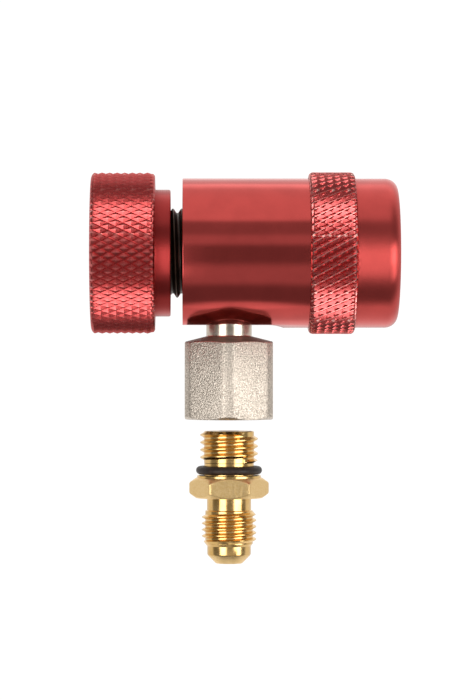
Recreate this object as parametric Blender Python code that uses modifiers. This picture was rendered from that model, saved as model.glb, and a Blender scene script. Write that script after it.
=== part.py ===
"""A manual service coupler for a car air-conditioning port, with its brass hose adapter.

The coupler lies along X: the mouth of its socket is at X = 0 and its handwheel is at the -X end.
Its hose outlet hangs down along Z, and the hose adapter stands below it, unscrewed.
"""

import math

import bmesh
import bpy
from mathutils import Euler, Matrix

MM = 0.001  # every size below is in millimetres, and the helpers turn it into metres

# Facets round a full turn
COARSE = 14
MEDIUM = 19
FINE = 32

# Stations along X
SLEEVE_BACK = -17.9
BODY_SHOULDER = -17.2
BODY_BACK = -43.3
BOSS_FRONT = -45.7
KNOB_FRONT = -48.8
KNOB_BACK = -61.7
NOSE_FRONT = -0.8

# The valve body
BODY_RADIUS = 15.1
NOSE_RADIUS = 11.0
SOCKET_RADIUS = 8.15
SOCKET_FLOOR = -14.0
SEAL_BORE_RADIUS = 6.2
SEAL_BORE_FLOOR = -19.0
SEAL_GROOVE = (-17.4, -15.4, 7.75)  # back, front and radius
SEAT_BORE_RADIUS = 3.0
CHAMBER_FRONT = -24.0
CHAMBER_RADIUS = 5.5
GLAND_SHOULDER = -32.6
GLAND_SEAT_RADIUS = 6.7
THREAD_FLOOR = -36.0
FLAT_HEIGHT = -14.5
FLAT_END = -26.0
MILL_RADIUS = 8.5
MILL_DEPTH = 10.0
MILL_WIDTH = 40.0
PASSAGE_X = -30.9
PASSAGE_RADIUS = 1.3

# The lock balls, in holes through the nose
BALL_COUNT = 6
BALL_RADIUS = 2.0
BALL_X = -6.6
BALL_CENTRE = 9.1
BALL_HOLE_RADIUS = 2.1
BALL_LIP_RADIUS = 1.8
BALL_LIP_TOP = 8.65

# The release sleeve
COLLAR_RADIUS = 15.05
COLLAR_BACK = -8.6
LIP_LENGTH = 2.6
LIP_HEIGHT = 2.25
KNURL_RADIUS = 16.33
KNURL_BEVEL = 1.1
MOUTH_BORE_RADIUS = 12.45
STOP_X = -4.2
STOP_RADIUS = 11.9
RAMP = (-5.0, -5.7)
LAND_RADIUS = 11.5
SPRING_CHAMBER_RADIUS = 13.4
SPRING_CHAMBER_BACK = -12.9
SKIRT_BORE_RADIUS = 15.25
SLEEVE_SPRING = (12.2, 1.0, 3)  # mean radius, wire and turns

# The spring ring that stops the sleeve
RING_BACK = -3.9
RING_FRONT = -2.9
RING_INNER = 10.45
RING_OUTER = 12.15
RING_GAP = 60.0  # degrees left open

# The handwheel and the screw that it turns
KNOB_RADIUS = 16.25
BOSS_RADIUS = 12.8
HEX_SPIGOT_FLATS = 10.0
SPIGOT_BACK = -56.2
HEAD_SEAT = -58.8
HEAD_RADIUS = 3.5
SHANK_RADIUS = 1.95
SHANK_FRONT = -50.5
SCREW_FRONT = -38.4
SHANK_BORE_RADIUS = 2.1
TAIL_HOLE = (-41.6, 3.2)  # floor and radius
TAIL_STEP = (-43.6, 2.3)  # floor and radius
SPIGOT_ROOT = (-54.2, 4.5)  # back and radius of the round core inside the hexagon
HUB_BORE_RADIUS = 4.0

# The depressor pin
PIN_TAIL = -41.3
PIN_STEM_RADIUS = 2.95
PIN_COLLAR = (-30.5, -29.7, 4.6)  # back, front and radius
PIN_GUIDE = (-27.6, 2.2)  # front and radius
PIN_RADIUS = 1.5
PIN_TIP = -17.5
PIN_POINT_RADIUS = 0.9
PIN_SPRING = (3.9, 0.6, 3.75)  # mean radius, wire and turns

# The gland that the pin slides in
GLAND_BACK = -35.7
GLAND_FRONT = -32.9
GLAND_RADIUS = 6.6
GLAND_BORE = 3.08
GLAND_OUTER_GROOVE = (0.55, 5.7)  # half width and radius
GLAND_INNER_GROOVE = (0.75, 4.5)

# The O-rings: mean radius and section
SOCKET_SEAL = (6.8, 1.7)
STEM_SEAL = (3.75, 1.3)
GLAND_SEAL = (6.2, 0.84)
OUTLET_SEAL = (4.18, 0.96)
ADAPTER_SEAL = (5.88, 1.56)
ADAPTER_SEAL_Z = -43.8

# Screw threads: pitch, crest radius, root radius
ACTUATOR_THREAD = (1.75, 9.0, 8.2)
OUTLET_THREAD = (1.5, 5.85, 5.05)
HOSE_THREAD = (1.27, 5.5, 4.8)
THREAD_PLAY = 0.2  # a nut's thread is this much larger in radius than its screw's
CREST_SHARE = 0.08  # half the crest's width, as a share of the pitch
FLANK_SLOPE = 0.58  # run along the axis for each unit of height
THREAD_ROOTED = 0.3  # how far a ridge is sunk into the part below it

# The outlet swivel, stations along Z
OUTLET_X = -33.9
POCKET_TOP = -10.6
POCKET_RADIUS = 4.72
WIRE_GROOVE = (-13.9, -12.9, 5.15)  # bottom, top and radius in the body
NECK_TOP = -11.0
NECK_RADIUS = 4.6
NECK_SEAL_GROOVE = (-12.5, -11.4, 3.6)  # bottom, top and radius
NECK_WIRE_GROOVE_RADIUS = 4.15
RETAINING_WIRE = (4.66, 0.72, 0.86)  # mean radius, wire and turns
WIRE_START = -155.0  # degrees round the neck
CONE_TOP = -16.8
NUT_FLATS = 17.75
NUT_RADIUS = 9.7
NUT_SHOULDER = -18.06
NUT_BOTTOM = -33.55
NUT_RECESS = (-31.55, 6.85)  # top and radius
NUT_THREAD_TOP = -24.2
NUT_PASSAGE_RADIUS = 1.75

# The hose adapter, stations along Z
ADAPTER_TOP = -35.9
ADAPTER_THREAD_END = -41.9
RELIEF_RADIUS = 5.0
FLANGE = (-45.35, -44.8, 6.45)  # bottom, top and radius
ADAPTER_FLATS = 14.0
HEX_BOTTOM = -49.4
HEX_CHAMFER = 0.9
ADAPTER_NECK_RADIUS = 4.45
HOSE_THREAD_TOP = -51.9
HOSE_THREAD_END = -58.1
HOSE_NOSE_TOP = -59.1
HOSE_NOSE_RADIUS = 4.4
FLARE_TOP = -60.8
FLARE_END = (-62.6, 2.65)  # bottom and radius
ADAPTER_BORE = 1.9

# Material looks: base colour, roughness, metallic
RED = ((0.50, 0.035, 0.045, 1), 0.34, 0.9)
BLACK = ((0.02, 0.02, 0.022, 1), 0.45, 0.2)
NICKEL = ((0.62, 0.60, 0.56, 1), 0.42, 1.0)
BRASS = ((0.80, 0.56, 0.25, 1), 0.28, 1.0)
STEEL = ((0.62, 0.62, 0.63, 1), 0.25, 1.0)
RUBBER = ((0.018, 0.016, 0.015, 1), 0.6, 0.0)

ALONG_X = Euler((0, math.radians(90), 0))  # turns local Z to +X
UPRIGHT = Euler((0, 0, 0))
ON_AXIS = (0, 0, 0)
AT_OUTLET = (OUTLET_X, 0, 0)


def clear_scene():
    for obj in list(bpy.data.objects):
        bpy.data.objects.remove(obj)


def new_collection(name):
    collection = bpy.data.collections.new(name)
    bpy.context.scene.collection.children.link(collection)
    return collection


def material(name, look):
    colour, roughness, metallic = look
    made = bpy.data.materials.new(name)
    made.use_nodes = True
    shader = made.node_tree.nodes["Principled BSDF"]
    shader.inputs["Base Color"].default_value = colour
    shader.inputs["Roughness"].default_value = roughness
    shader.inputs["Metallic"].default_value = metallic
    made.diffuse_color = colour
    return made


def add(name, data, look, at=ON_AXIS, turn=UPRIGHT):
    """A new object. With a look it is a sub-part, and without one it is a cutter."""
    obj = bpy.data.objects.new(name, data)
    obj.location = [value * MM for value in at]
    obj.rotation_euler = turn
    if look:
        PARTS.objects.link(obj)
        data.materials.append(material(name, look))
    else:
        CUTTERS.objects.link(obj)
        obj.hide_render = True
        obj.display_type = "WIRE"
    return obj


def turned(name, profile, steps, look=None, at=ON_AXIS, turn=UPRIGHT):
    """A profile of (station, radius) points, spun round local Z. It runs down the outer side first."""
    points = [(radius * MM, 0, station * MM) for station, radius in profile]
    edges = [(i, i + 1) for i in range(len(points) - 1)]
    if profile[0][1] > 0:
        edges.append((len(points) - 1, 0))
    mesh = bpy.data.meshes.new(name)
    mesh.from_pydata(points, edges, [])
    obj = add(name, mesh, look, at, turn)
    spin = obj.modifiers.new("spin", "SCREW")
    spin.steps = steps
    spin.render_steps = steps
    spin.use_merge_vertices = True
    spin.merge_threshold = 1e-7
    return obj


def arc(centre, radii, start, end, count):
    """Points on an ellipse's arc. 0 degrees points up the axis and 90 points outwards."""
    station, radius = centre
    angles = [math.radians(start + (end - start) * i / count) for i in range(count + 1)]
    return [(station + radii[0] * math.cos(a), radius + radii[1] * math.sin(a)) for a in angles]


def o_ring(name, station, mean, section, steps, at=ON_AXIS, turn=UPRIGHT):
    profile = arc((station, mean), (section / 2, section / 2), 0, 360, 8)[:-1]
    return turned(name, profile, steps, RUBBER, at, turn)


def primitive(name, build, matrix, look=None, at=ON_AXIS, turn=UPRIGHT, **sizes):
    """A bmesh primitive whose mesh is moved by matrix, in millimetres, before it is placed."""
    bm = bmesh.new()
    build(bm, matrix=Matrix.Scale(MM, 4) @ matrix, **sizes)
    mesh = bpy.data.meshes.new(name)
    bm.to_mesh(mesh)
    bm.free()
    return add(name, mesh, look, at, turn)


def cylinder(name, radius, low, high, segments, at=ON_AXIS, turn=UPRIGHT, twist=0.0):
    """A plain cylinder or prism between two stations of local Z."""
    middle = Matrix.Translation((0, 0, (low + high) / 2)) @ Matrix.Rotation(math.radians(twist), 4, "Z")
    sizes = dict(cap_ends=True, segments=segments, radius1=radius, radius2=radius, depth=high - low)
    return primitive(name, bmesh.ops.create_cone, middle, None, at, turn, **sizes)


def hexagon(name, across_flats, low, high, at, turn=UPRIGHT, twist=0.0):
    """A hexagonal prism. With no twist it has corners on local +Y and -Y."""
    return cylinder(name, across_flats / math.sqrt(3), low, high, 6, at, turn, twist)


def combine(part, tool, operation="DIFFERENCE"):
    boolean = part.modifiers.new(tool.name, "BOOLEAN")
    boolean.operation = operation
    boolean.solver = "EXACT"
    boolean.object = tool


def helix_ridge(name, thread, low, high, play, steps, at, turn):
    """One right-hand thread ridge from station low to high, a closed body with filled ends."""
    pitch, crest, root = thread
    crest_half = CREST_SHARE * pitch + 0.6 * play
    root_half = crest_half + FLANK_SLOPE * (crest - root)
    buried = root + play - THREAD_ROOTED
    section = [
        (root_half, buried),
        (root_half, root + play),
        (crest_half, crest + play),
        (-crest_half, crest + play),
        (-root_half, root + play),
        (-root_half, buried),
    ]
    turns = math.ceil((high - low) / pitch)
    points = [(radius * MM, 0, (low + station) * MM) for station, radius in section]
    edges = [(i, (i + 1) % len(section)) for i in range(len(section))]
    mesh = bpy.data.meshes.new(name + "_section")
    mesh.from_pydata(points, edges, [])
    guide = add(name + "_section", mesh, None)
    screw = guide.modifiers.new("spin", "SCREW")
    screw.steps = steps
    screw.render_steps = steps
    screw.iterations = turns
    screw.screw_offset = pitch * MM
    screw.use_merge_vertices = False
    bpy.context.view_layer.update()
    graph = bpy.context.evaluated_depsgraph_get()
    ridge = bpy.data.meshes.new_from_object(guide.evaluated_get(graph))
    bpy.data.objects.remove(guide)
    bm = bmesh.new()
    bm.from_mesh(ridge)
    bmesh.ops.remove_doubles(bm, verts=bm.verts, dist=1e-7)
    bmesh.ops.holes_fill(bm, edges=[edge for edge in bm.edges if edge.is_boundary])
    bmesh.ops.recalc_face_normals(bm, faces=bm.faces)
    bm.to_mesh(ridge)
    bm.free()
    return add(name, ridge, None, at, turn)


def screw_thread(part, name, thread, low, high, steps, at=ON_AXIS, turn=UPRIGHT):
    """Adds a male thread to a part, chamfered at both ends."""
    pitch, crest, root = thread
    ridge = helix_ridge(name, thread, low - pitch, high + pitch, 0.0, steps, at, turn)
    slope = crest - root + THREAD_ROOTED
    limits = [
        (high, 0),
        (high, root - 0.1),
        (high - slope, crest + 0.2),
        (low + slope, crest + 0.2),
        (low, root - 0.1),
        (low, 0),
    ]
    combine(ridge, turned(name + "_limits", limits, steps, None, at, turn), "INTERSECT")
    combine(part, ridge, "UNION")


def nut_thread(part, name, thread, phase, low, high, steps, at=ON_AXIS, turn=UPRIGHT):
    """Cuts a female thread that runs on a screw whose ridge starts at the station called phase."""
    pitch, crest, root = thread
    first = phase + math.floor((low - phase) / pitch) * pitch
    ridge = helix_ridge(name, thread, first, high, THREAD_PLAY, steps, at, turn)
    limits = [(high, 0), (high, crest + 2), (low, crest + 2), (low, 0)]
    combine(ridge, turned(name + "_limits", limits, steps, None, at, turn), "INTERSECT")
    combine(part, ridge)


def coil(name, radius, wire, low, high, turns, per_turn, look, at=ON_AXIS, turn=UPRIGHT):
    """A helical spring of round wire between two centre-line stations of local Z."""
    count = round(turns * per_turn)
    curve = bpy.data.curves.new(name, "CURVE")
    curve.dimensions = "3D"
    curve.bevel_depth = wire / 2 * MM
    curve.bevel_resolution = 2
    curve.use_fill_caps = True
    spline = curve.splines.new("POLY")
    spline.points.add(count)
    for i, point in enumerate(spline.points):
        angle = 2 * math.pi * i / per_turn
        height = low + (high - low) * i / count
        point.co = (radius * MM * math.cos(angle), radius * MM * math.sin(angle), height * MM, 1)
    return add(name, curve, look, at, turn)


def split_ring(part, name, radius, low, high, at=ON_AXIS, turn=UPRIGHT):
    """Cuts the gap of a spring ring: a wedge of RING_GAP degrees."""
    half = radius * math.tan(math.radians(RING_GAP / 2))
    middle = Matrix.Translation((radius / 2, 0, (low + high) / 2))
    shape = middle @ Matrix.Diagonal((radius, 2 * half, high - low, 1))
    combine(part, primitive(name, bmesh.ops.create_cube, shape, None, at, turn, size=1.0))


def valve_body():
    """The main body: a socket for the port at the front, and a threaded bore for the screw at the back."""
    groove_back, groove_front, groove_radius = SEAL_GROOVE
    tap_radius = ACTUATOR_THREAD[2] + THREAD_PLAY
    mouth_radius = ACTUATOR_THREAD[1] + THREAD_PLAY
    profile = [
        (NOSE_FRONT, SOCKET_RADIUS + 0.5),
        (NOSE_FRONT, NOSE_RADIUS - 0.4),
        (NOSE_FRONT - 0.4, NOSE_RADIUS),
        (RING_FRONT + 0.1, NOSE_RADIUS),
        (RING_FRONT + 0.1, RING_INNER - 0.15),
        (RING_BACK - 0.1, RING_INNER - 0.15),
        (RING_BACK - 0.1, NOSE_RADIUS),
        (BODY_SHOULDER, NOSE_RADIUS),
        (BODY_SHOULDER, BODY_RADIUS - 0.3),
        (BODY_SHOULDER - 0.3, BODY_RADIUS),
        (BODY_BACK + 0.4, BODY_RADIUS),
        (BODY_BACK, BODY_RADIUS - 0.4),
        (BODY_BACK, mouth_radius + 0.1),
        (BODY_BACK + 0.9, tap_radius),
        (THREAD_FLOOR, tap_radius),
        (THREAD_FLOOR, GLAND_SEAT_RADIUS),
        (GLAND_SHOULDER, GLAND_SEAT_RADIUS),
        (GLAND_SHOULDER, CHAMBER_RADIUS),
        (CHAMBER_FRONT, CHAMBER_RADIUS),
        (CHAMBER_FRONT, SEAT_BORE_RADIUS),
        (SEAL_BORE_FLOOR, SEAT_BORE_RADIUS),
        (SEAL_BORE_FLOOR, SEAL_BORE_RADIUS),
        (groove_back, SEAL_BORE_RADIUS),
        (groove_back, groove_radius),
        (groove_front, groove_radius),
        (groove_front, SEAL_BORE_RADIUS),
        (SOCKET_FLOOR, SEAL_BORE_RADIUS),
        (SOCKET_FLOOR, SOCKET_RADIUS),
        (NOSE_FRONT - 0.5, SOCKET_RADIUS),
    ]
    body = turned("valve_body", profile, FINE, RED, turn=ALONG_X)
    phase = SCREW_FRONT - ACTUATOR_THREAD[0]
    limits = (BODY_BACK - 1, THREAD_FLOOR - 0.2)
    nut_thread(body, "body_thread", ACTUATOR_THREAD, phase, *limits, MEDIUM, turn=ALONG_X)
    for i in range(BALL_COUNT):
        combine(body, ball_hole(i))
    combine(body, outlet_pocket())
    combine(body, cylinder("passage", PASSAGE_RADIUS, POCKET_TOP - 0.4, -4.5, COARSE, (PASSAGE_X, 0, 0)))
    combine(body, milled_flat())
    return body


def ball_angle(index):
    return 2 * math.pi * index / BALL_COUNT


def ball_hole(index):
    """A radial hole whose inner lip keeps the ball from falling into the socket."""
    profile = [
        (NOSE_RADIUS + 1, 0),
        (NOSE_RADIUS + 1, BALL_HOLE_RADIUS),
        (BALL_LIP_TOP, BALL_HOLE_RADIUS),
        (SOCKET_RADIUS, BALL_LIP_RADIUS),
        (SOCKET_RADIUS - 1, BALL_LIP_RADIUS),
        (SOCKET_RADIUS - 1, 0),
    ]
    turn = Euler((ball_angle(index), 0, 0))
    return turned(f"ball_hole_{index + 1}", profile, COARSE, None, (BALL_X, 0, 0), turn)


def outlet_pocket():
    """The round pocket that the outlet swivel turns in, with the retaining wire's groove."""
    groove_bottom, groove_top, groove_radius = WIRE_GROOVE
    profile = [
        (POCKET_TOP, 0),
        (POCKET_TOP, POCKET_RADIUS),
        (groove_top, POCKET_RADIUS),
        (groove_top, groove_radius),
        (groove_bottom, groove_radius),
        (groove_bottom, POCKET_RADIUS),
        (FLAT_HEIGHT - 2, POCKET_RADIUS),
        (FLAT_HEIGHT - 2, 0),
    ]
    return turned("outlet_pocket", profile, MEDIUM, None, AT_OUTLET)


def milled_flat():
    """The flat under the body, milled in from the back face, with the mill's own radius at its end."""
    half = MILL_WIDTH / 2
    at = (FLAT_END, 0, FLAT_HEIGHT - MILL_RADIUS)
    mill = cylinder("mill", MILL_RADIUS, -half, half, 2 * FINE, at, Euler((math.radians(90), 0, 0)))
    length = FLAT_END - BODY_BACK + 5
    middle = Matrix.Translation((FLAT_END - length / 2, 0, FLAT_HEIGHT - MILL_DEPTH / 2))
    shape = middle @ Matrix.Diagonal((length, MILL_WIDTH, MILL_DEPTH, 1))
    path = primitive("mill_path", bmesh.ops.create_cube, shape, size=1.0)
    combine(path, mill, "UNION")
    return path


def lock_balls():
    for i in range(BALL_COUNT):
        angle = ball_angle(i)
        at = (BALL_X, -BALL_CENTRE * math.sin(angle), BALL_CENTRE * math.cos(angle))
        sizes = dict(u_segments=12, v_segments=7, radius=BALL_RADIUS)
        primitive(f"lock_ball_{i + 1}", bmesh.ops.create_uvsphere, Matrix(), STEEL, at, **sizes)


def release_sleeve():
    """The sleeve that holds the balls in. It is drawn back to let them out."""
    profile = [
        (0, MOUTH_BORE_RADIUS),
        *arc((-LIP_LENGTH, COLLAR_RADIUS - LIP_HEIGHT), (LIP_LENGTH, LIP_HEIGHT), 0, 90, 5),
        (COLLAR_BACK, COLLAR_RADIUS),
        (COLLAR_BACK - KNURL_BEVEL, KNURL_RADIUS),
        (SLEEVE_BACK + KNURL_BEVEL, KNURL_RADIUS),
        (SLEEVE_BACK, KNURL_RADIUS - 0.6),
        (SLEEVE_BACK, SKIRT_BORE_RADIUS),
        (SPRING_CHAMBER_BACK, SKIRT_BORE_RADIUS),
        (SPRING_CHAMBER_BACK, SPRING_CHAMBER_RADIUS),
        (COLLAR_BACK, SPRING_CHAMBER_RADIUS),
        (COLLAR_BACK, LAND_RADIUS),
        (RAMP[1], LAND_RADIUS),
        (RAMP[0], STOP_RADIUS),
        (STOP_X, STOP_RADIUS),
        (STOP_X, MOUTH_BORE_RADIUS),
    ]
    turned("release_sleeve", profile, FINE, RED, turn=ALONG_X)


def sleeve_fittings():
    """The spring behind the sleeve and the spring ring in front of its shoulder."""
    radius, wire, turns = SLEEVE_SPRING
    ends = (BODY_SHOULDER + 0.85, COLLAR_BACK - 0.85)
    coil("sleeve_spring", radius, wire, *ends, turns, 16, STEEL, turn=ALONG_X)
    profile = [
        (RING_FRONT, RING_INNER),
        (RING_FRONT, RING_OUTER),
        (RING_BACK, RING_OUTER),
        (RING_BACK, RING_INNER),
    ]
    ring = turned("sleeve_retaining_ring", profile, MEDIUM, STEEL, turn=ALONG_X)
    split_ring(ring, "ring_gap", RING_OUTER + 1, RING_BACK - 1, RING_FRONT + 1, turn=ALONG_X)


def seals():
    o_ring("socket_o_ring", sum(SEAL_GROOVE[:2]) / 2, *SOCKET_SEAL, MEDIUM, turn=ALONG_X)
    middle = (GLAND_BACK + GLAND_FRONT) / 2
    o_ring("stem_o_ring", middle, *STEM_SEAL, COARSE, turn=ALONG_X)
    o_ring("gland_o_ring", middle, *GLAND_SEAL, MEDIUM, turn=ALONG_X)
    o_ring("outlet_o_ring", sum(NECK_SEAL_GROOVE[:2]) / 2, *OUTLET_SEAL, COARSE, AT_OUTLET)
    o_ring("adapter_o_ring", ADAPTER_SEAL_Z, *ADAPTER_SEAL, MEDIUM, AT_OUTLET)


def stem_gland():
    """The brass bush that the pin slides in, with one groove inside and one outside."""
    middle = (GLAND_BACK + GLAND_FRONT) / 2
    outer_half, outer_radius = GLAND_OUTER_GROOVE
    inner_half, inner_radius = GLAND_INNER_GROOVE
    profile = [
        (GLAND_FRONT, GLAND_BORE),
        (GLAND_FRONT, GLAND_RADIUS),
        (middle + outer_half, GLAND_RADIUS),
        (middle + outer_half, outer_radius),
        (middle - outer_half, outer_radius),
        (middle - outer_half, GLAND_RADIUS),
        (GLAND_BACK, GLAND_RADIUS),
        (GLAND_BACK, GLAND_BORE),
        (middle - inner_half, GLAND_BORE),
        (middle - inner_half, inner_radius),
        (middle + inner_half, inner_radius),
        (middle + inner_half, GLAND_BORE),
    ]
    turned("stem_gland", profile, MEDIUM, BRASS, turn=ALONG_X)


def depressor_pin():
    """The pin that opens the port's valve, and the spring that brings it back."""
    collar_back, collar_front, collar_radius = PIN_COLLAR
    guide_front, guide_radius = PIN_GUIDE
    profile = [
        (PIN_TIP, 0),
        (PIN_TIP, PIN_POINT_RADIUS),
        (PIN_TIP - 1.0, PIN_RADIUS),
        (guide_front, PIN_RADIUS),
        (guide_front, guide_radius),
        (collar_front, guide_radius),
        (collar_front, collar_radius),
        (collar_back, collar_radius),
        (collar_back, PIN_STEM_RADIUS),
        (PIN_TAIL + 0.4, PIN_STEM_RADIUS),
        (PIN_TAIL, PIN_STEM_RADIUS - 0.4),
        (PIN_TAIL, 0),
    ]
    turned("depressor_pin", profile, COARSE, BRASS, turn=ALONG_X)
    radius, wire, turns = PIN_SPRING
    ends = (collar_front + 0.6, CHAMBER_FRONT - 0.6)
    coil("pin_return_spring", radius, wire, *ends, turns, 12, STEEL, turn=ALONG_X)


def actuator_screw():
    """The black screw that the handwheel turns, with a hexagonal spigot and a hole for the pin's tail."""
    hole_floor, hole_radius = TAIL_HOLE
    step_floor, step_radius = TAIL_STEP
    core_back, core_radius = SPIGOT_ROOT
    root = ACTUATOR_THREAD[2]
    back = BOSS_FRONT + 0.3
    profile = [
        (SCREW_FRONT, hole_radius),
        (SCREW_FRONT, root),
        (back, root),
        (back, core_radius),
        (core_back, core_radius),
        (core_back, SHANK_BORE_RADIUS),
        (step_floor, SHANK_BORE_RADIUS),
        (step_floor, step_radius),
        (hole_floor, step_radius),
        (hole_floor, hole_radius),
    ]
    screw = turned("actuator_screw", profile, MEDIUM, BLACK, turn=ALONG_X)
    spigot = hexagon("hex_spigot", HEX_SPIGOT_FLATS, SPIGOT_BACK, back + 1, ON_AXIS, ALONG_X)
    ends = (SPIGOT_BACK - 1, back + 2)
    combine(spigot, cylinder("spigot_bore", SHANK_BORE_RADIUS, *ends, MEDIUM, ON_AXIS, ALONG_X))
    combine(screw, spigot, "UNION")
    limits = (back + 0.12, SCREW_FRONT - 0.12)
    screw_thread(screw, "actuator_thread", ACTUATOR_THREAD, *limits, MEDIUM, turn=ALONG_X)


def handwheel():
    """The red handwheel, with a smooth boss in front and a hexagonal bore for the screw's spigot."""
    profile = [
        (BOSS_FRONT, HUB_BORE_RADIUS),
        (BOSS_FRONT, BOSS_RADIUS - 0.4),
        (BOSS_FRONT - 0.4, BOSS_RADIUS),
        (KNOB_FRONT, BOSS_RADIUS),
        (KNOB_FRONT, KNOB_RADIUS - 0.6),
        (KNOB_FRONT - 0.6, KNOB_RADIUS),
        (KNOB_BACK + 0.6, KNOB_RADIUS),
        (KNOB_BACK, KNOB_RADIUS - 0.6),
        (KNOB_BACK, HEAD_RADIUS + 0.6),
        (HEAD_SEAT, HEAD_RADIUS + 0.6),
        (HEAD_SEAT, SHANK_RADIUS + 0.3),
        (SPIGOT_BACK - 0.3, SHANK_RADIUS + 0.3),
        (SPIGOT_BACK - 0.3, HUB_BORE_RADIUS),
    ]
    wheel = turned("handwheel", profile, FINE, RED, turn=ALONG_X)
    bore = hexagon("hex_bore", HEX_SPIGOT_FLATS + 0.3, SPIGOT_BACK - 0.3, BOSS_FRONT + 1, ON_AXIS, ALONG_X)
    combine(wheel, bore)


def handwheel_screw():
    """The cap screw that holds the handwheel on the hexagonal spigot."""
    seat = HEAD_SEAT - 0.2
    profile = [
        (SHANK_FRONT, 0),
        (SHANK_FRONT, SHANK_RADIUS - 0.3),
        (SHANK_FRONT - 0.3, SHANK_RADIUS),
        (seat, SHANK_RADIUS),
        (seat, HEAD_RADIUS),
        (KNOB_BACK + 0.6, HEAD_RADIUS),
        (KNOB_BACK + 0.3, HEAD_RADIUS - 0.3),
        (KNOB_BACK + 0.3, 0),
    ]
    screw = turned("handwheel_screw", profile, COARSE, BLACK, turn=ALONG_X)
    combine(screw, hexagon("hex_socket", 3.0, KNOB_BACK - 1, KNOB_BACK + 1.8, ON_AXIS, ALONG_X))


def outlet_swivel():
    """The plated hose outlet: a neck that turns in the body, and a hexagonal socket with a thread."""
    groove_bottom, groove_top, _ = WIRE_GROOVE
    seal_bottom, seal_top, seal_radius = NECK_SEAL_GROOVE
    recess_top, recess_radius = NUT_RECESS
    thread_core = OUTLET_THREAD[2] + THREAD_PLAY
    profile = [
        (NECK_TOP, NUT_PASSAGE_RADIUS),
        (NECK_TOP, NECK_RADIUS - 0.2),
        (NECK_TOP - 0.2, NECK_RADIUS),
        (seal_top, NECK_RADIUS),
        (seal_top, seal_radius),
        (seal_bottom, seal_radius),
        (seal_bottom, NECK_RADIUS),
        (groove_top - 0.05, NECK_RADIUS),
        (groove_top - 0.05, NECK_WIRE_GROOVE_RADIUS),
        (groove_bottom + 0.05, NECK_WIRE_GROOVE_RADIUS),
        (groove_bottom + 0.05, NECK_RADIUS),
        (CONE_TOP, NECK_RADIUS),
        (NUT_SHOULDER, NUT_RADIUS),
        (NUT_BOTTOM + 0.4, NUT_RADIUS),
        (NUT_BOTTOM, NUT_RADIUS - 0.6),
        (NUT_BOTTOM, recess_radius),
        (recess_top, recess_radius),
        (recess_top, thread_core + 0.9),
        (recess_top + 0.9, thread_core),
        (NUT_THREAD_TOP, thread_core),
        (NUT_THREAD_TOP, NUT_PASSAGE_RADIUS),
    ]
    outlet = turned("outlet_swivel", profile, 2 * MEDIUM, NICKEL, AT_OUTLET)
    combine(outlet, hexagon("nut_hexagon", NUT_FLATS, NUT_BOTTOM - 1, NECK_TOP + 1, AT_OUTLET), "INTERSECT")
    phase = ADAPTER_THREAD_END - OUTLET_THREAD[0]
    limits = (recess_top - 1, NUT_THREAD_TOP - 0.2)
    nut_thread(outlet, "nut_thread", OUTLET_THREAD, phase, *limits, MEDIUM, AT_OUTLET)


def outlet_retaining_wire():
    """The round wire in the neck's groove that keeps the outlet in the body."""
    radius, thickness, turns = RETAINING_WIRE
    middle = sum(WIRE_GROOVE[:2]) / 2
    wire = coil("outlet_retaining_wire", radius, thickness, middle, middle, turns, 20, STEEL, AT_OUTLET)
    wire.rotation_euler = (0, 0, math.radians(WIRE_START))


def hose_adapter():
    """The brass adapter: a straight thread with a seal for the outlet, and a flare thread for the hose."""
    flange_bottom, flange_top, flange_radius = FLANGE
    flare_bottom, flare_radius = FLARE_END
    corner = ADAPTER_FLATS / math.sqrt(3)
    outlet_root = OUTLET_THREAD[2]
    hose_root = HOSE_THREAD[2]
    profile = [
        (ADAPTER_TOP, ADAPTER_BORE),
        (ADAPTER_TOP, outlet_root - 0.25),
        (ADAPTER_TOP - 0.25, outlet_root),
        (ADAPTER_THREAD_END - 0.3, outlet_root),
        (ADAPTER_THREAD_END - 0.35, RELIEF_RADIUS),
        (flange_top, RELIEF_RADIUS),
        (flange_top, flange_radius - 0.1),
        (flange_top - 0.1, flange_radius),
        (flange_bottom, flange_radius),
        (flange_bottom, corner - HEX_CHAMFER),
        (flange_bottom - HEX_CHAMFER * FLANK_SLOPE, corner),
        (HEX_BOTTOM + HEX_CHAMFER * FLANK_SLOPE, corner),
        (HEX_BOTTOM, corner - HEX_CHAMFER),
        (HEX_BOTTOM, ADAPTER_NECK_RADIUS),
        (HOSE_THREAD_TOP, ADAPTER_NECK_RADIUS),
        (HOSE_THREAD_TOP - 0.35, hose_root),
        (HOSE_THREAD_END, hose_root),
        (HOSE_NOSE_TOP, HOSE_NOSE_RADIUS),
        (FLARE_TOP, HOSE_NOSE_RADIUS),
        (flare_bottom, flare_radius),
        (flare_bottom, ADAPTER_BORE),
    ]
    adapter = turned("hose_adapter", profile, MEDIUM, BRASS, AT_OUTLET)
    combine(adapter, hexagon("adapter_hexagon", ADAPTER_FLATS, -70, -30, AT_OUTLET, twist=30), "INTERSECT")
    upper = (ADAPTER_THREAD_END, ADAPTER_TOP - 0.12)
    lower = (HOSE_THREAD_END - 0.4, HOSE_THREAD_TOP - 0.1)
    screw_thread(adapter, "adapter_thread", OUTLET_THREAD, *upper, MEDIUM, AT_OUTLET)
    screw_thread(adapter, "hose_thread", HOSE_THREAD, *lower, MEDIUM, AT_OUTLET)


clear_scene()
PARTS = new_collection("service_coupler")
CUTTERS = new_collection("cutters")
valve_body()
lock_balls()
release_sleeve()
sleeve_fittings()
seals()
stem_gland()
depressor_pin()
actuator_screw()
handwheel()
handwheel_screw()
outlet_swivel()
outlet_retaining_wire()
hose_adapter()
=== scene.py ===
"""The finished look of a manual service coupler for a car air-conditioning port.

Each piece is rebuilt here with fine turned surfaces, real knurls and real threads, in the places
that the CAD frame gives, and takes a procedural material.
"""

import math

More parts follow.
